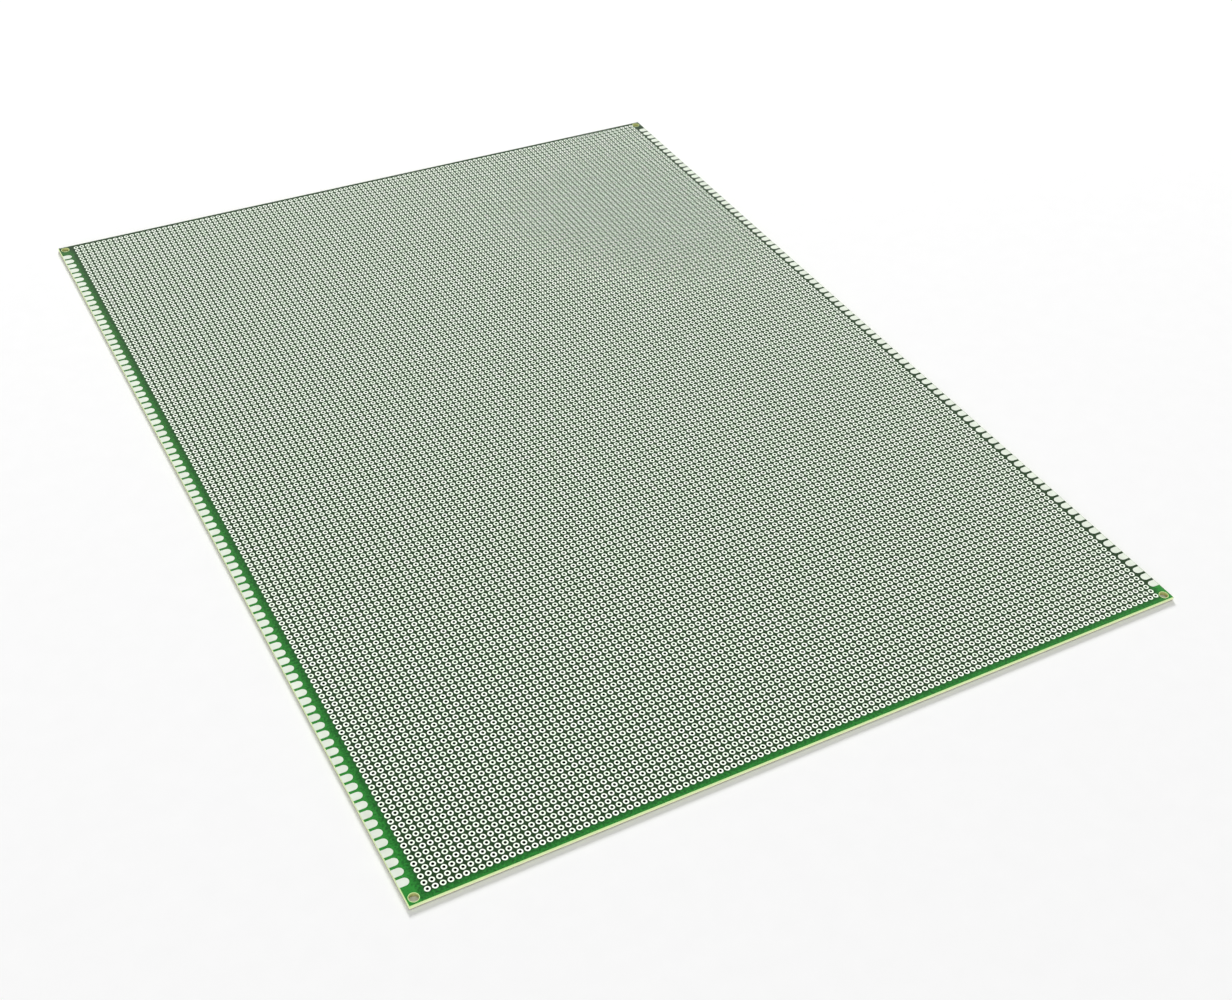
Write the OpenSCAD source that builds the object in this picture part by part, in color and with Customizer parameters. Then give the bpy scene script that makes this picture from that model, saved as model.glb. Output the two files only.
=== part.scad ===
// Prototype board: a large double-sided sheet of glass-epoxy laminate with a
// regular grid of plated through-holes and a row of contact fingers on each
// long side. The board lies flat. Origin: centre of the footprint, lowest face.
// The far edge of the board is at +Y. All sizes are in millimetres.

/* [Board] */
// Width of the board, across the rows of holes
board_w = 300; // [299:0.5:320]
// Length of the board, along the finger rows
board_l = 400; // [399:0.5:420]
// Thickness over the tinned pads, bottom face to top face
board_t = 1.6; // [0.8:0.1:3.2]

/* [Hole grid] */
// Distance from one hole to the next, both ways
pitch = 2.54; // [2.5:0.01:2.54]
// Holes in one row, across the board
columns = 114; // [100:1:114]
// Holes in one column, along the board
rows = 156; // [140:1:156]
// Left edge to the first column of holes
grid_left = 7.4; // [7:0.1:7.6]
// Near edge to the first row of holes
grid_near = 3.6; // [3.4:0.1:3.8]
// Finished bore of a plated hole
hole_d = 1; // [0.8:0.05:1.2]
// Outside diameter of a tinned pad
pad_d = 2; // [1.7:0.05:2.05]
// Wall of the plated barrel
barrel_wall = 0.05; // [0.03:0.01:0.1]
// One hole in this many is drawn, both ways, with the last row and column
drawn_every = 10; // [8:1:40]

/* [Coatings] */
// Copper and tin on each face
pad_t = 0.07; // [0.05:0.01:0.1]
// Green solder mask on each face
mask_t = 0.04; // [0.02:0.01:0.05]
// Bare ring between a pad or finger and the mask
mask_gap = 0.06; // [0.04:0.01:0.1]

/* [Edge fingers] */
// Distance from one finger to the next
finger_pitch = 4.064; // [3.96:0.004:4.068]
// Fingers on each long side, on each face
finger_count = 95; // [80:1:95]
// Width of a finger along the edge
finger_w = 3; // [2.4:0.1:3.2]
// Reach of a finger from the board's edge to its rounded end
finger_l = 3.8; // [3.2:0.1:4]
// Near edge to the first finger's centre line
finger_near = 9; // [8.4:0.1:9.4]

/* [Corner holes] */
// Bore of a mounting hole
corner_d = 3.2; // [2.8:0.1:3.2]
// Bare ring around a mounting hole, clear of the mask
corner_ring = 0.2; // [0.18:0.01:0.22]
// Board's edge to the centre of a mounting hole, both ways
corner_inset = 2.6; // [2.5:0.05:2.6]

/* [Hidden] */
$fn = 48;
// Overshoot of a cutter past the face that it cuts
cut = 1;
drill_d = hole_d + 2 * barrel_wall;
core_t = board_t - 2 * pad_t;
top = board_t - pad_t;
corner_x = board_w / 2 - corner_inset;
corner_y = board_l / 2 - corner_inset;

// Place of the hole in column i, row j, counted from the near left corner
function hole_at(i, j) =
    [-board_w / 2 + grid_left + i * pitch, -board_l / 2 + grid_near + j * pitch];

// The places along one row or column that are drawn: one in drawn_every, and the last
function drawn(count) = [for (k = [0 : count - 1]) if (k % drawn_every == 0 || k == count - 1) k];

// The children, at every drawn hole of the grid
module at_holes()
    for (i = drawn(columns), j = drawn(rows)) translate(hole_at(i, j)) children();

// The children, at every mounting hole
module at_corners()
    for (x = [-corner_x, corner_x], y = [-corner_y, corner_y])
        translate([x, y]) children();

// The children, at every finger: +X points from the board's edge inwards
module at_fingers()
    for (side = [0, 1], k = [0 : finger_count - 1])
        translate([(side * 2 - 1) * board_w / 2, -board_l / 2 + finger_near + k * finger_pitch])
            rotate(side * 180) children();

// Plan of one finger: square at the board's edge, rounded at the inner end
module finger_plan() {
    straight = finger_l - finger_w / 2;
    translate([0, -finger_w / 2]) square([straight, finger_w]);
    translate([straight, 0]) circle(d = finger_w);
}

// Notch in the mask around one finger, open at the board's edge
module finger_notch()
    translate([-cut, -finger_w / 2 - mask_gap, -cut])
        cube([finger_l + mask_gap + cut, finger_w + 2 * mask_gap, mask_t + 2 * cut]);

// Plain rectangle of the board, centred
module sheet(thickness)
    translate([-board_w / 2, -board_l / 2, 0]) cube([board_w, board_l, thickness]);

// Glass-epoxy core, drilled for every barrel and every mounting bolt
module laminate()
    color("#cdd8a2") translate([0, 0, pad_t]) difference() {
        sheet(core_t);
        at_holes() translate([0, 0, -cut]) cylinder(d = drill_d, h = core_t + 2 * cut);
        at_corners() translate([0, 0, -cut]) cylinder(d = corner_d, h = core_t + 2 * cut);
    }

// Green film of one face, open around the pads, fingers and mounting holes
module mask_film()
    difference() {
        sheet(mask_t);
        at_holes() translate([0, 0, -cut]) cylinder(d = pad_d + 2 * mask_gap, h = mask_t + 2 * cut);
        at_corners() translate([0, 0, -cut]) cylinder(d = corner_d + 2 * corner_ring, h = mask_t + 2 * cut);
        at_fingers() finger_notch();
    }

module top_mask()
    color("#1f7a35") translate([0, 0, top]) mask_film();

module bottom_mask()
    color("#1f7a35") translate([0, 0, pad_t - mask_t]) mask_film();

// One barrel with a flat pad at each end, turned from half of its section
module plated_hole()
    rotate_extrude() polygon([
        [hole_d / 2, 0], [pad_d / 2, 0], [pad_d / 2, pad_t], [drill_d / 2, pad_t],
        [drill_d / 2, top], [pad_d / 2, top], [pad_d / 2, board_t], [hole_d / 2, board_t]]);

module plated_holes()
    color("#d9dcd4") at_holes() plated_hole();

// Contact fingers on both long sides, on both faces
module edge_fingers()
    color("#d9dcd4") for (z = [0, top])
        translate([0, 0, z]) at_fingers() linear_extrude(pad_t) finger_plan();

laminate();
top_mask();
bottom_mask();
plated_holes();
edge_fingers();
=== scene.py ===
# %% [markdown]
# # A large prototype board
#
# This lesson dresses a bare circuit board: a flat sheet of glass-epoxy with a grid of tinned holes, a green
# lacquer between them and a row of contact fingers down each long side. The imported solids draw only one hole
# in ten each way. The scene reads the size of the grid from them and draws every hole.

import math

import bpy
import numpy as np
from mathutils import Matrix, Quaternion, Vector, geometry, noise


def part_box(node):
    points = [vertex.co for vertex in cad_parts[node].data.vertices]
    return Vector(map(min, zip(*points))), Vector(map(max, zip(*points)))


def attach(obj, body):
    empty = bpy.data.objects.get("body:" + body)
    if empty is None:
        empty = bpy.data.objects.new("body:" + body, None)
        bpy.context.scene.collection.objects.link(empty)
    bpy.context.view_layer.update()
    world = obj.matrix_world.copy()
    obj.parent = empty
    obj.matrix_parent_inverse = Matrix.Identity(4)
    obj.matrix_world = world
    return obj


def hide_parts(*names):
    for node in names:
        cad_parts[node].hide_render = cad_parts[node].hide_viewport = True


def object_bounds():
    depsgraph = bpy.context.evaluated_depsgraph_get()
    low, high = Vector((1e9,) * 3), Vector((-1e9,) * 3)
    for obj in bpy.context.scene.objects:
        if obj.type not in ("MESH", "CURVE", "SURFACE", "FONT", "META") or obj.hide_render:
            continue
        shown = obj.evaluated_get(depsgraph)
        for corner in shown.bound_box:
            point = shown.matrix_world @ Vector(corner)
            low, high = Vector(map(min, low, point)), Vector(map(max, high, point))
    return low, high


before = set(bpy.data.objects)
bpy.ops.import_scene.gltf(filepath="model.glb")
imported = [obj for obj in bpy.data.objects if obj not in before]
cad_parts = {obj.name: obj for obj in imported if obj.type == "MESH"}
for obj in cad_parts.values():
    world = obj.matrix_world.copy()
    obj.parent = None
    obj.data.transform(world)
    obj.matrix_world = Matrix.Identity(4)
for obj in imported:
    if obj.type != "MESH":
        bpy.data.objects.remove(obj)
cad_low, cad_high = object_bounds()
mm = 0.001
print("solids measure, in mm:", [round(v / mm, 2) for v in cad_high - cad_low])

# %% [markdown]
# ## The grid, read back from the solids
#
# The box around the drawn pads reaches from the first hole to the last one, so a known pitch gives the
# number of columns and rows. Reading the numbers back keeps the scene and the solids in step: if the board
# is packed again at another size, the picture follows.

# %% Count the holes
pitch = 2.54 * mm
pad_radius = 1.0 * mm
bore_radius = 0.5 * mm
pads_low, pads_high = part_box("plated_holes")
first_x, first_y = pads_low.x + pad_radius, pads_low.y + pad_radius
last_x, last_y = pads_high.x - pad_radius, pads_high.y - pad_radius
columns = round((last_x - first_x) / pitch) + 1
rows = round((last_y - first_y) / pitch) + 1
pad_top = pads_high.z
mask_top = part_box("top_mask")[1].z
mask_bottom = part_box("bottom_mask")[0].z
print("grid of", columns, "by", rows, "=", columns * rows, "holes")

# %% [markdown]
# ## The camera
#
# A photograph with a regular grid in it is a good ruler. The spot below was fitted to the grid and to the
# board's four sides: the camera stands beyond the near left corner, looks down at about 40 degrees and is
# tilted a little to one side.

# %% Stand the camera
camera_spot = Vector((-252.8, -478.6, 407.1)) * mm
aim_spot = Vector((-5.9, -62.4, 0)) * mm
camera_tilt = math.radians(3.23)
camera_data = bpy.data.cameras.new("photo_camera")
camera_data.sensor_width = 36
camera_data.lens = 48.42
camera = bpy.data.objects.new("photo_camera", camera_data)
scene = bpy.context.scene
scene.collection.objects.link(camera)
camera.location = camera_spot
camera.rotation_mode = "QUATERNION"
level_view = (aim_spot - camera_spot).to_track_quat("-Z", "Y")
camera.rotation_quaternion = level_view @ Quaternion((0, 0, 1), camera_tilt)
scene.camera = camera
print("camera", round((aim_spot - camera_spot).length / mm), "mm from where it aims")

# %% [markdown]
# ## Helpers for node trees
#
# The room, the paper and the finishes are all made of nodes. Four small helpers keep them short: one joins two
# sockets, one does a sum, one stretches a value from one range to another, and one tells where on the board a
# point lies.

# %% Join, sum, stretch and place
def link(tree, source, target):
    """Joins two sockets of a node tree."""
    tree.links.new(source, target)


def math_node(tree, operation, first, second=None):
    """A maths node with its inputs linked or set, returned as its output."""
    node = tree.nodes.new("ShaderNodeMath")
    node.operation = operation
    for socket, value in zip(node.inputs, (first, second)):
        if value is None:
            continue
        if isinstance(value, (int, float)):
            socket.default_value = value
        else:
            link(tree, value, socket)
    return node.outputs[0]


def spread(tree, value, low, high, start=0.0, end=1.0):
    """Maps a value from start..end to low..high, and stops at both."""
    node = tree.nodes.new("ShaderNodeMapRange")
    for socket, number in (("From Min", start), ("From Max", end), ("To Min", low), ("To Max", high)):
        node.inputs[socket].default_value = number
    link(tree, value, node.inputs["Value"])
    return node.outputs["Result"]


def object_place(tree):
    """Three outputs that give a point's place on its object: across, along and up."""
    where = tree.nodes.new("ShaderNodeTexCoord")
    xyz = tree.nodes.new("ShaderNodeSeparateXYZ")
    link(tree, where.outputs["Object"], xyz.inputs[0])
    return xyz.outputs


across, along, up = 0, 1, 2
print("helpers for node trees ready")

# %% [markdown]
# ## Light and floor
#
# The board lies on white paper in soft, even light. A white world gives about half of it. A low lamp from
# behind gives most of the rest, so that the shadow falls forwards and the near edge stands off the paper, and
# a white card in front lifts the sawn edge. The levels add up to about one, so a colour renders about as it
# is written. Bright tin shows the room itself, which is brighter towards the horizon: that is why the far
# half of the board looks paler than the near half.

# %% A white world
fill_level = 0.45
low_gaze, high_gaze = 0.45, 0.85
horizon_glow, overhead_glow = 1.38, 1.13
white = (1, 1, 1, 1)
scene.view_settings.view_transform = "Standard"
world = bpy.data.worlds.new("white_room")
scene.world = world
world.use_nodes = True
room = world.node_tree
room.nodes.clear()
world_out = room.nodes.new("ShaderNodeOutputWorld")
fill_light = room.nodes.new("ShaderNodeBackground")
fill_light.inputs["Color"].default_value = white
fill_light.inputs["Strength"].default_value = fill_level
seen_white = room.nodes.new("ShaderNodeBackground")
seen_white.inputs["Color"].default_value = white
direction = room.nodes.new("ShaderNodeTexCoord")
gaze = room.nodes.new("ShaderNodeSeparateXYZ")
link(room, direction.outputs["Generated"], gaze.inputs[0])
glow = spread(room, gaze.outputs["Z"], horizon_glow, overhead_glow, low_gaze, high_gaze)
link(room, glow, seen_white.inputs["Strength"])
ray = room.nodes.new("ShaderNodeLightPath")
in_sight = math_node(room, "MAXIMUM", ray.outputs["Is Camera Ray"], ray.outputs["Is Glossy Ray"])
pick = room.nodes.new("ShaderNodeMixShader")
link(room, in_sight, pick.inputs[0])
link(room, fill_light.outputs[0], pick.inputs[1])
link(room, seen_white.outputs[0], pick.inputs[2])
link(room, pick.outputs[0], world_out.inputs["Surface"])
print("world light", fill_level)

# %% A lamp behind and a card in front
def round_lamp(name, spot, size, power):
    """A round lamp that looks at the board and leaves no bright spot in its gloss."""
    data = bpy.data.lights.new(name, "AREA")
    data.shape = "DISK"
    data.size = size
    data.energy = power
    lamp = bpy.data.objects.new(name, data)
    scene.collection.objects.link(lamp)
    lamp.location = spot
    lamp.rotation_mode = "QUATERNION"
    lamp.rotation_quaternion = (-lamp.location).to_track_quat("-Z", "Y")
    lamp.visible_glossy = False
    print(name, "of", power, "W at", spot)


round_lamp("window_lamp", spot=(1.4, 4.0, 2.5), size=1.4, power=222)
round_lamp("white_card", spot=(-2.2, -3.75, 1.3), size=2.0, power=76)

# %% [markdown]
# The paper lies a hair below the board, because the lowest tin would otherwise share its plane.

# %% A floor of white paper
floor_reach = 4.0
floor_level = -0.02 * mm
corner_signs = ((-1, -1), (1, -1), (1, 1), (-1, 1))
floor_corners = [(x * floor_reach, y * floor_reach, floor_level) for x, y in corner_signs]
floor_mesh = bpy.data.meshes.new("paper_floor")
floor_mesh.from_pydata(floor_corners, [], [(0, 1, 2, 3)])
floor = bpy.data.objects.new("paper_floor", floor_mesh)
scene.collection.objects.link(floor)
paper = bpy.data.materials.new("white_paper")
paper.use_nodes = True
paper_tree = paper.node_tree
paper_shader = paper_tree.nodes["Principled BSDF"]
paper_shader.inputs["Roughness"].default_value = 0.9
paper_shader.inputs["Specular IOR Level"].default_value = 0.1
paper_grain = paper_tree.nodes.new("ShaderNodeTexNoise")
paper_grain.inputs["Scale"].default_value = 900
paper_tone = spread(paper_tree, paper_grain.outputs["Fac"], low=0.95, high=0.98)
link(paper_tree, paper_tone, paper_shader.inputs["Base Color"])
floor_mesh.materials.append(paper)
print("floor", 2 * floor_reach, "m square")

# %% [markdown]
# ## Two effects that several finishes share
#
# Every pad is a true circle, but a circle for each of the holes would take far too many corners. The pads are
# modelled as octagons, and a node group that knows the grid rounds them off: it folds the plane into one cell
# and measures how far each point is from the nearest hole. A second group gives the fine unevenness of a
# dipped or lacquered surface. Each is built once and placed in every material that needs it.

# %% Group: distance from the nearest hole
def new_group(name, inputs, outputs):
    """An empty shader group with float sockets, and its two end nodes."""
    tree = bpy.data.node_groups.new(name, "ShaderNodeTree")
    for socket, value in inputs.items():
        added = tree.interface.new_socket(socket, in_out="INPUT", socket_type="NodeSocketFloat")
        added.default_value = value
    for socket in outputs:
        tree.interface.new_socket(socket, in_out="OUTPUT", socket_type="NodeSocketFloat")
    return tree, tree.nodes.new("NodeGroupInput"), tree.nodes.new("NodeGroupOutput")


hole_grid, grid_in, grid_out = new_group(
    "hole_grid", {"Pitch": pitch, "First X": first_x, "First Y": first_y}, ("Distance", "Chance")
)
grid_place = object_place(hole_grid)
offsets, numbers = [], []
for axis, first in ((across, "First X"), (along, "First Y")):
    shifted = math_node(hole_grid, "SUBTRACT", grid_place[axis], grid_in.outputs[first])
    steps = math_node(hole_grid, "DIVIDE", shifted, grid_in.outputs["Pitch"])
    number = math_node(hole_grid, "ROUND", steps)
    offsets.append(math_node(hole_grid, "SUBTRACT", steps, number))
    numbers.append(number)
squares = [math_node(hole_grid, "MULTIPLY", offset, offset) for offset in offsets]
away = math_node(hole_grid, "SQRT", math_node(hole_grid, "ADD", *squares))
distance = math_node(hole_grid, "MULTIPLY", away, grid_in.outputs["Pitch"])
link(hole_grid, distance, grid_out.inputs["Distance"])
cell = hole_grid.nodes.new("ShaderNodeCombineXYZ")
link(hole_grid, numbers[0], cell.inputs[0])
link(hole_grid, numbers[1], cell.inputs[1])
dice = hole_grid.nodes.new("ShaderNodeTexWhiteNoise")
dice.noise_dimensions = "2D"
link(hole_grid, cell.outputs[0], dice.inputs["Vector"])
link(hole_grid, dice.outputs["Value"], grid_out.inputs["Chance"])
print("group hole_grid with", len(hole_grid.nodes), "nodes")

# %% Group: uneven surface
uneven, uneven_in, uneven_out = new_group("uneven_surface", {"Broad": 60, "Fine": 1500}, ("Broad", "Fine"))
where_on_it = uneven.nodes.new("ShaderNodeTexCoord")
for name, detail in (("Broad", 2), ("Fine", 3)):
    cloud = uneven.nodes.new("ShaderNodeTexNoise")
    cloud.inputs["Detail"].default_value = detail
    link(uneven, where_on_it.outputs["Object"], cloud.inputs["Vector"])
    link(uneven, uneven_in.outputs[name], cloud.inputs["Scale"])
    link(uneven, cloud.outputs["Fac"], uneven_out.inputs[name])
print("group uneven_surface with", len(uneven.nodes), "nodes")

# %% [markdown]
# ## Finishes
#
# Colours are picked from the photograph as the screen shows them, and turned into the linear values that a
# shader works with. The lacquer is darker between the pads than along the bare margins. Tin is a soft
# metal: bright, a little cloudy, never a mirror. The sawn edge of the sheet is pale, with the glass layers
# showing as faint lines.

# %% Helpers for finishes
def new_finish(name):
    """A material with one Principled shader, returned with its tree and shader."""
    finish = bpy.data.materials.new(name)
    finish.use_nodes = True
    print("finish", name)
    return finish, finish.node_tree, finish.node_tree.nodes["Principled BSDF"]


def place_group(tree, group, **values):
    """A group node in a material, with its own values."""
    node = tree.nodes.new("ShaderNodeGroup")
    node.node_tree = group
    for socket, value in values.items():
        node.inputs[socket].default_value = value
    return node


def mix_colours(tree, amount, first, second):
    """Blend of two colours by an amount, each a socket or a plain colour."""
    node = tree.nodes.new("ShaderNodeMix")
    node.data_type = "RGBA"
    amount_at, first_at, second_at, blend_at = 0, 6, 7, 2
    for number, value in ((amount_at, amount), (first_at, first), (second_at, second)):
        if isinstance(value, tuple):
            node.inputs[number].default_value = value
        else:
            link(tree, value, node.inputs[number])
    return node.outputs[blend_at]


def set_look(tree, shader, colour, cloud, smoothest, roughest):
    """Gives a shader its colour, and a roughness that varies with a cloud."""
    link(tree, colour, shader.inputs["Base Color"])
    link(tree, spread(tree, cloud, smoothest, roughest), shader.inputs["Roughness"])


def add_bump(tree, shader, height, distance, strength):
    """Bump from a height socket, set on the shader's normal."""
    bump = tree.nodes.new("ShaderNodeBump")
    bump.inputs["Strength"].default_value = strength
    bump.inputs["Distance"].default_value = distance
    link(tree, height, bump.inputs["Height"])
    link(tree, bump.outputs["Normal"], shader.inputs["Normal"])


print("helpers for finishes ready")

# %% Colours as the screen shows them
def screen(red, green, blue):
    """A colour as a screen shows it, 0 to 255, as linear values with alpha."""
    shares = [value / 255 for value in (red, green, blue)]
    linear = [s / 12.92 if s <= 0.04045 else ((s + 0.055) / 1.055) ** 2.4 for s in shares]
    return (*linear, 1)


margin_green, margin_green_deep = screen(44, 138, 50), screen(16, 86, 26)
distant_green, distant_green_deep = screen(44, 104, 38), screen(12, 50, 12)
grid_green, grid_green_deep = screen(26, 60, 20), screen(17, 46, 14)
tin_bright, tin_dull = screen(248, 255, 243), screen(238, 252, 232)
finger_bright, finger_dull = screen(226, 234, 220), screen(200, 206, 194)
# The bores' two tones are near black: painted shade inside the narrow bores.
bore_shade_light, bore_shade_dark = screen(16, 17, 13), screen(6, 7, 5)
upper_edge_pale, upper_edge_deep = screen(234, 254, 198), screen(214, 246, 160)
lower_edge_pale, lower_edge_deep = screen(246, 244, 218), screen(230, 230, 190)
# Painted shade: a dark foot for the sawn edge and a dark rim for its right chamfer.
edge_foot_shade, right_rim_shade = screen(116, 108, 76), screen(84, 104, 70)
# The drilled wall's tones are darker than the sawn edge: painted shade inside the corner holes.
drilled_shade_light, drilled_shade_dark = screen(206, 208, 148), screen(176, 180, 116)
print("margin green is", [round(v, 3) for v in margin_green[:3]])

# %% [markdown]
# The photograph shows the lacquer a clear green along the left and near margins, and dull along the right and
# far ones. The finish repeats this by place, so it first needs to know where on the board a point lies.

# %% Where on the board
def inside_grid(tree, edge, fade=0.5 * mm):
    """One over the field of holes, falling to zero across a strip around it."""
    place = object_place(tree)
    share = None
    for axis, low, high in ((across, first_x, last_x), (along, first_y, last_y)):
        middle, half = (low + high) / 2, (high - low) / 2 + edge
        off_middle = math_node(tree, "ABSOLUTE", math_node(tree, "SUBTRACT", place[axis], middle))
        inner = spread(tree, off_middle, 1.0, 0.0, half, half + fade)
        share = inner if share is None else math_node(tree, "MINIMUM", share, inner)
    return share


def rising(tree, axis, start, end):
    """Zero below one place on an axis of the board, rising to one at another."""
    return spread(tree, object_place(tree)[axis], 0.0, 1.0, start, end)


print("field of holes is", round((last_x - first_x) / mm, 2), "by", round((last_y - first_y) / mm, 2), "mm")

# %% Green lacquer
margin_fade = 3 * mm
cloud_lift = 0.5
dull_reach = pad_radius * 0.6
corner_end, corner_faded = first_y + 1.5 * pitch, first_y + 2.5 * pitch


def green_lacquer_colour(tree, surface):
    """Clear green on the left and near margins, and the dull green of the grid and the other two."""
    cloudy = spread(tree, surface.outputs["Fine"], 0.0, 1.0, start=0.3, end=0.7)
    by_the_grid = inside_grid(tree, pad_radius, margin_fade)
    depth = math_node(tree, "SUBTRACT", math_node(tree, "ADD", cloudy, cloud_lift), by_the_grid)
    clear = spread(tree, depth, 0.0, 1.0)
    near_margin = mix_colours(tree, clear, margin_green_deep, margin_green)
    far_margin = mix_colours(tree, clear, distant_green_deep, distant_green)
    margin = mix_colours(tree, rising(tree, along, first_y, last_y), near_margin, far_margin)
    field = mix_colours(tree, cloudy, grid_green_deep, grid_green)
    past_corner = rising(tree, along, corner_end, corner_faded)
    right = math_node(tree, "MINIMUM", rising(tree, across, last_x - pitch, last_x), past_corner)
    right_or_far = math_node(tree, "MAXIMUM", right, rising(tree, along, last_y - pitch, last_y))
    dull = math_node(tree, "MAXIMUM", inside_grid(tree, dull_reach), right_or_far)
    return mix_colours(tree, dull, margin, field)


green_lacquer, tree, shader = new_finish("green_lacquer")
surface = place_group(tree, uneven, Fine=1200)
lacquer_colour = green_lacquer_colour(tree, surface)
set_look(tree, shader, lacquer_colour, surface.outputs["Fine"], smoothest=0.28, roughest=0.46)
shader.inputs["Specular IOR Level"].default_value = 0.17
add_bump(tree, shader, surface.outputs["Fine"], distance=0.02 * mm, strength=0.4)

# %% Tin on the pads, above and below
tin_edge = 0.02 * mm
grid_rim = 0.1 * mm


def tin_over_green(name):
    """Tin within the pad's true circle, where the grid has holes, and lacquer outside it."""
    finish, tree, shader = new_finish(name)
    surface = place_group(tree, uneven, Fine=2600)
    grid = place_group(tree, hole_grid)
    from_hole = grid.outputs["Distance"]
    within_pad = spread(tree, from_hole, 1.0, 0.0, pad_radius - tin_edge, pad_radius + tin_edge)
    tinned = math_node(tree, "MINIMUM", within_pad, inside_grid(tree, pad_radius + grid_rim, grid_rim))
    tin = mix_colours(tree, grid.outputs["Chance"], tin_dull, tin_bright)
    colour = mix_colours(tree, tinned, green_lacquer_colour(tree, surface), tin)
    set_look(tree, shader, colour, surface.outputs["Fine"], smoothest=0.3, roughest=0.5)
    link(tree, tinned, shader.inputs["Metallic"])
    crown = spread(tree, from_hole, 1.0, 0.0, (bore_radius + pad_radius) / 2, pad_radius)
    relief = math_node(tree, "ADD", crown, surface.outputs["Fine"])
    add_bump(tree, shader, relief, distance=0.05 * mm, strength=0.5)
    return finish


pad_tin = tin_over_green("pad_tin")
underside_finish = tin_over_green("underside_finish")

# %% Tin in the bores, painted almost black as shade
shaded_bore_tin, tree, shader = new_finish("shaded_bore_tin")
surface = place_group(tree, uneven, Broad=300, Fine=3000)
# The bores' tin gets a near-black colour: painted shade, where the real barrels are bright tin.
bore_shade_colour = mix_colours(tree, surface.outputs["Broad"], bore_shade_dark, bore_shade_light)
set_look(tree, shader, bore_shade_colour, surface.outputs["Fine"], smoothest=0.6, roughest=0.8)
shader.inputs["Specular IOR Level"].default_value = 0.1

# %% Tin on the fingers
finger_tin, tree, shader = new_finish("finger_tin")
surface = place_group(tree, uneven, Broad=260, Fine=2200)
finger_colour = mix_colours(tree, surface.outputs["Broad"], finger_dull, finger_bright)
set_look(tree, shader, finger_colour, surface.outputs["Fine"], smoothest=0.28, roughest=0.5)
shader.inputs["Metallic"].default_value = 1.0
add_bump(tree, shader, surface.outputs["Broad"], distance=0.06 * mm, strength=0.5)

# %% [markdown]
# The sawn edge is greener above and creamier below. Its foot is painted dark, as shade where it meets the
# paper. The chamfer along the right side has a dark rim of painted shade, which parts the fingers from the
# white beyond them.

# %% Sawn glass-epoxy
glass_layers = 8
upper_from, upper_to = pad_top * 0.35, pad_top * 0.75
foot_shade_from, foot_shade_to = pad_top * 0.1, pad_top * 0.3
rim_from, rim_to = mask_top - 0.11 * mm, mask_top - 0.08 * mm
right_from, right_to = cad_high.x - 0.4 * mm, cad_high.x - 0.3 * mm
sawn_epoxy, tree, shader = new_finish("sawn_epoxy")
surface = place_group(tree, uneven, Broad=400, Fine=4000)
edge_height = object_place(tree)[up]
waves = math_node(tree, "MULTIPLY", edge_height, 2 * math.pi * glass_layers / pad_top)
rough_waves = math_node(tree, "ADD", math_node(tree, "SINE", waves), surface.outputs["Fine"])
layers = spread(tree, rough_waves, 0.0, 1.0, start=-1.0, end=2.0)
upper_edge = mix_colours(tree, layers, upper_edge_deep, upper_edge_pale)
lower_edge = mix_colours(tree, layers, lower_edge_deep, lower_edge_pale)
upper_share = spread(tree, edge_height, 0.0, 1.0, upper_from, upper_to)
wall = mix_colours(tree, upper_share, lower_edge, upper_edge)
# Painted shade: a dark rim on the top chamfer of the right side.
right_shade_share = rising(tree, across, right_from, right_to)
chamfer_shade_share = spread(tree, edge_height, 0.0, 1.0, rim_from, rim_to)
wall_with_rim_shade = mix_colours(tree, math_node(tree, "MINIMUM", right_shade_share, chamfer_shade_share), wall, right_rim_shade)
# Painted shade: the foot of the edge is darker where it meets the paper.
above_foot_shade = spread(tree, edge_height, 0.0, 1.0, foot_shade_from, foot_shade_to)
edge_layers_and_shade = mix_colours(tree, above_foot_shade, edge_foot_shade, wall_with_rim_shade)
set_look(tree, shader, edge_layers_and_shade, surface.outputs["Broad"], smoothest=0.55, roughest=0.8)
add_bump(tree, shader, surface.outputs["Fine"], distance=0.05 * mm, strength=0.6)

# %% Drilled glass-epoxy, darkened as painted shade
shaded_drilled_epoxy, tree, shader = new_finish("shaded_drilled_epoxy")
surface = place_group(tree, uneven, Broad=500, Fine=4000)
# The wall is darker and more olive than the sawn edge: painted shade inside the hole.
drilled_shade_colour = mix_colours(tree, surface.outputs["Broad"], drilled_shade_dark, drilled_shade_light)
set_look(tree, shader, drilled_shade_colour, surface.outputs["Fine"], smoothest=0.6, roughest=0.9)
add_bump(tree, shader, surface.outputs["Fine"], distance=0.05 * mm, strength=0.6)

# %% [markdown]
# ## The lacquer between the pads
#
# The lacquer is one sheet with an opening at each pad. A boolean with thousands of cutters would take
# minutes. Instead the sheet is woven straight from the octagons: a bridge to the right, a bridge away and a
# star in the corner between four pads. An octagon's corners count counter-clockwise: 7 and 0 end its right
# side, 1 and 2 its far side, 3 and 4 its left side, 5 and 6 its near side. A ring of single points around the
# grid closes the weave in a straight line, so a plain frame can meet it.

# %% Octagons and the weave
sides = 8
line_gap = 1.1 * mm
left_line, right_line = first_x - line_gap, last_x + line_gap
near_line, far_line = first_y - line_gap, last_y + line_gap


def octagon(inner_radius):
    """Corners of an octagon around a circle, with flat sides to the right and to the far side."""
    reach = inner_radius / math.cos(math.pi / sides)
    turns = [math.pi / sides + k * 2 * math.pi / sides for k in range(sides)]
    return [(reach * math.cos(t), reach * math.sin(t)) for t in turns]


def without_repeats(corners):
    """A face's corners with neighbours that are the same point left out."""
    return [c for k, c in enumerate(corners) if c != corners[k - 1]]


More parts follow.
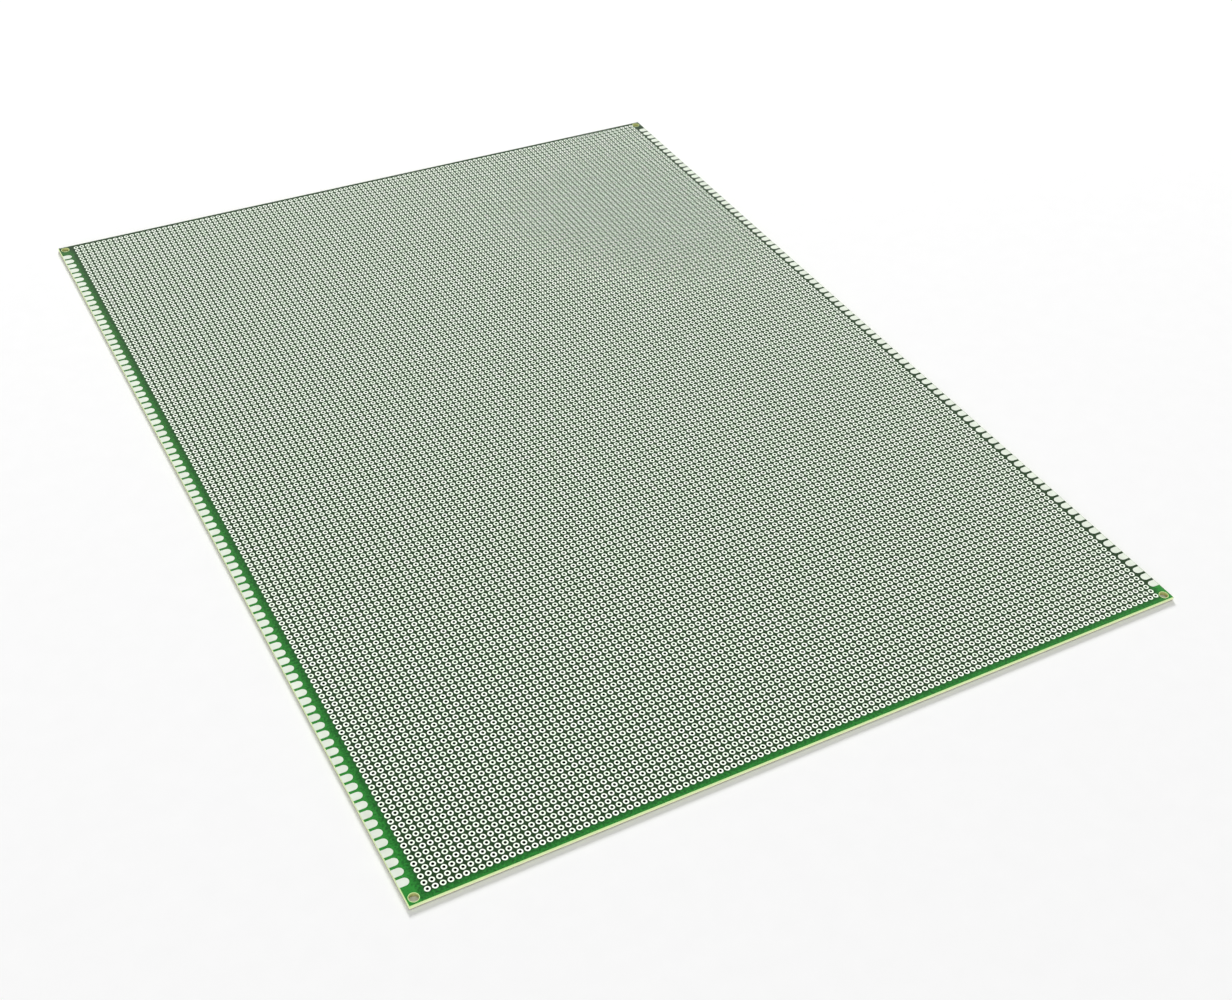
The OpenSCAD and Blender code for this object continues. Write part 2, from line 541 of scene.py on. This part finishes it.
def weave(outline, height):
    """Points and faces of the sheet between the openings of the grid, and its straight border."""
    points, at = [], {}
    for j in range(-1, rows + 1):
        for i in range(-1, columns + 1):
            x = min(max(first_x + i * pitch, left_line), right_line)
            y = min(max(first_y + j * pitch, near_line), far_line)
            start = len(points)
            if 0 <= i < columns and 0 <= j < rows:
                points += [(x + dx, y + dy, height) for dx, dy in outline]
                at[i, j] = list(range(start, start + sides))
            else:
                points.append((x, y, height))
                at[i, j] = [start] * sides
    faces = []
    for j in range(-1, rows):
        for i in range(-1, columns):
            own, right, away, diagonal = at[i, j], at[i + 1, j], at[i, j + 1], at[i + 1, j + 1]
            faces.append((own[7], right[4], right[3], own[0]))
            faces.append((own[1], away[6], away[5], own[2]))
            faces.append((own[0], right[3], right[2], diagonal[5], diagonal[4], away[7], away[6], own[1]))
    faces = [f for f in map(without_repeats, faces) if len(f) > 2]
    return points, faces


top_weave = weave(octagon(pad_radius), mask_top)
print("weave of", len(top_weave[1]), "faces")

# %% [markdown]
# ## The plain margin
#
# Around the grid the sheet is a frame with a hole in each corner. A constrained triangulation fills it: it
# takes the outer edge, the straight line of the weave and the four circles, and keeps the triangles between.

# %% Frame around the grid
board_low, board_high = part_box("laminate")
corner_radius = 1.6 * mm
corner_inset = 2.6 * mm
hole_sides = 40
bare_ring = 0.2 * mm
bare_rim = 0.25 * mm
same_point = 1e-7
just_inside = 0.99
corner_spots = [
    (x, y)
    for x in (board_low.x + corner_inset, board_high.x - corner_inset)
    for y in (board_low.y + corner_inset, board_high.y - corner_inset)
]


def circle(centre, radius):
    """Points of a corner hole's circle, counter-clockwise."""
    turns = [2 * math.pi * k / hole_sides for k in range(hole_sides)]
    return [(centre[0] + radius * math.cos(t), centre[1] + radius * math.sin(t)) for t in turns]


def margin_frame(height):
    """Points and triangles between the board's edge, the weave's straight line and the corner holes."""
    opening = corner_radius + bare_ring
    xs = [left_line] + [first_x + i * pitch for i in range(columns)] + [right_line]
    ys = [near_line] + [first_y + j * pitch for j in range(rows)] + [far_line]
    inner = [(x, near_line) for x in xs] + [(right_line, y) for y in ys[1:]]
    inner += [(x, far_line) for x in xs[-2::-1]] + [(left_line, y) for y in ys[-2:0:-1]]
    west, east = board_low.x + bare_rim, board_high.x - bare_rim
    south, north = board_low.y + bare_rim, board_high.y - bare_rim
    outer = [(west, south), (east, south), (east, north), (west, north)]
    points, edges = [], []
    for loop in [outer, inner] + [circle(spot, opening) for spot in corner_spots]:
        start = len(points)
        points += [Vector(p) for p in loop]
        edges += [(start + k, start + (k + 1) % len(loop)) for k in range(len(loop))]
    flat, _, triangles, *_ = geometry.delaunay_2d_cdt(points, edges, [], 0, same_point)
    kept = []
    for triangle in triangles:
        x, y = sum((flat[k] for k in triangle), Vector((0, 0))) / 3
        in_field = left_line < x < right_line and near_line < y < far_line
        in_hole = any(math.hypot(x - cx, y - cy) < opening * just_inside for cx, cy in corner_spots)
        if not in_field and not in_hole:
            kept.append(tuple(triangle))
    return [(p.x, p.y, height) for p in flat], kept


top_frame = margin_frame(mask_top)
print("frame of", len(top_frame[1]), "triangles")

# %% Helpers for pieces
def new_piece(name, points, faces, finishes, node, slot, smooth=False):
    """A mesh object that rides on the board and stands for a node of the solids."""
    mesh = bpy.data.meshes.new(name)
    mesh.from_pydata(points, [], faces)
    for finish in finishes:
        mesh.materials.append(finish)
    if smooth:
        mesh.shade_smooth()
    piece = bpy.data.objects.new(name, mesh)
    scene.collection.objects.link(piece)
    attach(piece, "root")
    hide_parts(node)
    print(name, "has", sum(len(f) - 2 for f in faces), "triangles")
    return piece


def joined(*parts):
    """Several lists of points and faces as one."""
    points, faces = [], []
    for part_points, part_faces in parts:
        start = len(points)
        points += part_points
        faces += [tuple(start + k for k in face) for face in part_faces]
    return points, faces


def facing_down(part):
    """The same faces, turned over."""
    return part[0], [tuple(reversed(face)) for face in part[1]]


def strips_between(loop_count, size):
    """Faces that join each closed loop of points to the next one."""
    faces = []
    for n in range(loop_count - 1):
        first, second = n * size, (n + 1) * size
        for k in range(size):
            after = (k + 1) % size
            faces.append((first + k, first + after, second + after, second + k))
    return faces


print("helpers for pieces ready")

# %% Build the top sheet and the underside
new_piece("top_lacquer", *joined(top_weave, top_frame), [green_lacquer], "top_mask", "green_mask")
bottom_weave = facing_down(weave(octagon(bore_radius), mask_bottom))
bottom_frame = facing_down(margin_frame(mask_bottom))
new_piece("underside", *joined(bottom_weave, bottom_frame), [underside_finish], "bottom_mask", "green_mask")

# %% [markdown]
# ## The plated holes
#
# Each hole is a barrel of tinned copper with a pad around its mouth. The tin stands a little higher at the
# bore than at its outer edge, as solder does when it is blown level. The same few corners are repeated at
# every place of the grid with array arithmetic, in bands of rows, so no single piece grows too heavy.

# %% Repeat one hole over a band of rows
bands = 4
pad_outline, bore_outline = np.array(octagon(pad_radius)), np.array(octagon(bore_radius))


def ring_at(centres, outline, height):
    """Corners of an outline at every centre, at one height: holes by corners by 3."""
    flat = centres[:, None, :] + outline[None, :, :]
    return np.concatenate([flat, np.full(flat.shape[:2] + (1,), height)], 2)


def plated_band(first_row, end_row):
    """Points, faces and finish numbers of the holes in some rows."""
    i, j = np.meshgrid(np.arange(columns), np.arange(first_row, end_row))
    centres = np.stack([first_x + i.ravel() * pitch, first_y + j.ravel() * pitch], 1)
    pad_loops = [ring_at(centres, pad_outline, mask_top), ring_at(centres, bore_outline, pad_top)]
    barrel_loops = [ring_at(centres, bore_outline, pad_top), ring_at(centres, bore_outline, mask_bottom)]
    loops = pad_loops + barrel_loops
    points = np.concatenate(loops, 1).reshape(-1, 3)
    strip = np.array(strips_between(2, sides))
    one_hole = np.concatenate([strip, strip + 2 * sides])
    starts = np.arange(len(centres)) * len(loops) * sides
    faces = (starts[:, None, None] + one_hole[None]).reshape(-1, 4)
    kinds = np.tile(np.repeat([0, 1], sides), len(centres))
    return points.tolist(), faces.tolist(), kinds.astype(np.int32)


row_cuts = [round(rows * b / bands) for b in range(bands + 1)]
for b in range(bands):
    points, faces, kinds = plated_band(row_cuts[b], row_cuts[b + 1])
    finishes = [pad_tin, shaded_bore_tin]
    band = new_piece(f"plated_holes_{b + 1}", points, faces, finishes, "plated_holes", "tin", smooth=True)
    band.data.polygons.foreach_set("material_index", kinds)

# %% [markdown]
# ## The contact fingers
#
# A finger is a thin plate of tinned copper, rounded at its inner end. It stands a hair above the lacquer and
# its rim is softened, because molten tin draws back from an edge. One outline serves a whole row: each finger
# is the same loop moved along the edge and turned to face inwards. The right row ends a little farther from
# the edge than the left one, as the photograph shows it.

# %% One finger and its rows
finger_pitch = 4.064 * mm
finger_width = 3.0 * mm
finger_reach = 3.8 * mm
rim = 0.08 * mm
arc_steps = 12
left_setback, right_setback = 0.1 * mm, 0.25 * mm
pad_bottom = 0.0
fingers_low, fingers_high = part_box("edge_fingers")
finger_count = round((fingers_high.y - fingers_low.y - finger_width) / finger_pitch) + 1


def finger_outline(shrink, setback):
    """Loop of one finger from the board's edge inwards, drawn in by a little."""
    half = finger_width / 2 - shrink
    centre = finger_reach - finger_width / 2
    turns = [-math.pi / 2 + math.pi * k / arc_steps for k in range(arc_steps + 1)]
    arc = [(centre + half * math.cos(t), half * math.sin(t)) for t in turns]
    return [(setback + shrink, -half)] + arc + [(setback + shrink, half)]


def finger_row(edge_x, inwards, setback, base, crest):
    """Points and faces of the fingers on one edge, from the lacquer up to the tin."""
    points, faces = [], []
    foot, crown = finger_outline(0.0, setback), finger_outline(rim, setback)
    count = len(foot)
    flanks = strips_between(2, count)
    for k in range(finger_count):
        y = fingers_low.y + finger_width / 2 + k * finger_pitch
        start = len(points)
        for loop, height in ((foot, base), (crown, crest)):
            points += [(edge_x + inwards * dx, y + inwards * dy, height) for dx, dy in loop]
        faces.append(tuple(range(start + count, start + 2 * count)))
        faces += [tuple(start + n for n in flank) for flank in flanks]
    return points, faces


finger_edges = ((board_low.x, 1, left_setback), (board_high.x, -1, right_setback))
upper_rows = [finger_row(*edge, mask_top, pad_top) for edge in finger_edges]
lower_rows = [facing_down(finger_row(*edge, mask_bottom, pad_bottom)) for edge in finger_edges]
new_piece("contact_fingers", *joined(*upper_rows, *lower_rows), [finger_tin], "edge_fingers", "tin")
print(finger_count, "fingers on each edge")

# %% [markdown]
# ## The sawn edge and the corner holes
#
# The edge shows the laminate itself. It is a band around the sheet with a small chamfer above and below where
# the saw broke through the lacquer, and the cut wanders by a few hundredths of a millimetre. The corner holes
# are drilled through the same stuff: the bare ring around each has the finish of the edge, and the wall inside
# has a browner, darker one, which is painted shade inside the hole.

# %% Band around the sheet
step_along = 1.0 * mm
chamfer = 0.12 * mm
wander = 0.04 * mm
wander_scale, wander_scale_up = 400, 900
lower_line, upper_line = mask_top * 0.35, mask_top * 0.65
edge_levels = [
    (mask_bottom, bare_rim), (mask_bottom + chamfer, 0.0), (lower_line, 0.0),
    (upper_line, 0.0), (mask_top - chamfer, 0.0), (mask_top, bare_rim),
]


def edge_loop():
    """Points along the board's edge with the outward direction at each, counter-clockwise."""
    corners = [
        (board_low.x, board_low.y), (board_high.x, board_low.y),
        (board_high.x, board_high.y), (board_low.x, board_high.y),
    ]
    loop = []
    for n, start in enumerate(corners):
        a, b = Vector(start), Vector(corners[(n + 1) % len(corners)])
        count = round((b - a).length / step_along)
        heading = (b - a).normalized()
        loop += [(a + (b - a) * k / count, Vector((heading.y, -heading.x))) for k in range(count)]
    return loop


loop = edge_loop()
edge_points = []
for height, inset in edge_levels:
    for spot, outwards in loop:
        seed = Vector((spot.x * wander_scale, spot.y * wander_scale, height * wander_scale_up))
        cut = spot + outwards * (wander * (noise.noise(seed) - 1))
        x = min(max(cut.x, board_low.x + inset), board_high.x - inset)
        y = min(max(cut.y, board_low.y + inset), board_high.y - inset)
        edge_points.append((x, y, height))
edge_faces = strips_between(len(edge_levels), len(loop))
print("edge of", len(loop), "steps")

# %% Corner hole walls and bare rings
def corner_hole(centre):
    """Bare rings above and below, and the drilled wall between them."""
    inner, outer = circle(centre, corner_radius), circle(centre, corner_radius + bare_ring)
    loops = [(outer, mask_top), (inner, mask_top), (inner, mask_bottom), (outer, mask_bottom)]
    points = [(x, y, height) for ring, height in loops for x, y in ring]
    return points, strips_between(len(loops), hole_sides)


holes = [corner_hole(spot) for spot in corner_spots]
core_points, core_faces = joined((edge_points, edge_faces), *holes)
core = new_piece("sawn_core", core_points, core_faces, [sawn_epoxy, shaded_drilled_epoxy], "laminate", "glass_epoxy")
core_kinds = np.zeros(len(core_faces), np.int32)
hole_start = len(edge_faces)
for _, hole_faces in holes:
    wall_start = hole_start + hole_sides
    core_kinds[wall_start:wall_start + hole_sides] = 1
    hole_start += len(hole_faces)
core.data.polygons.foreach_set("material_index", core_kinds)
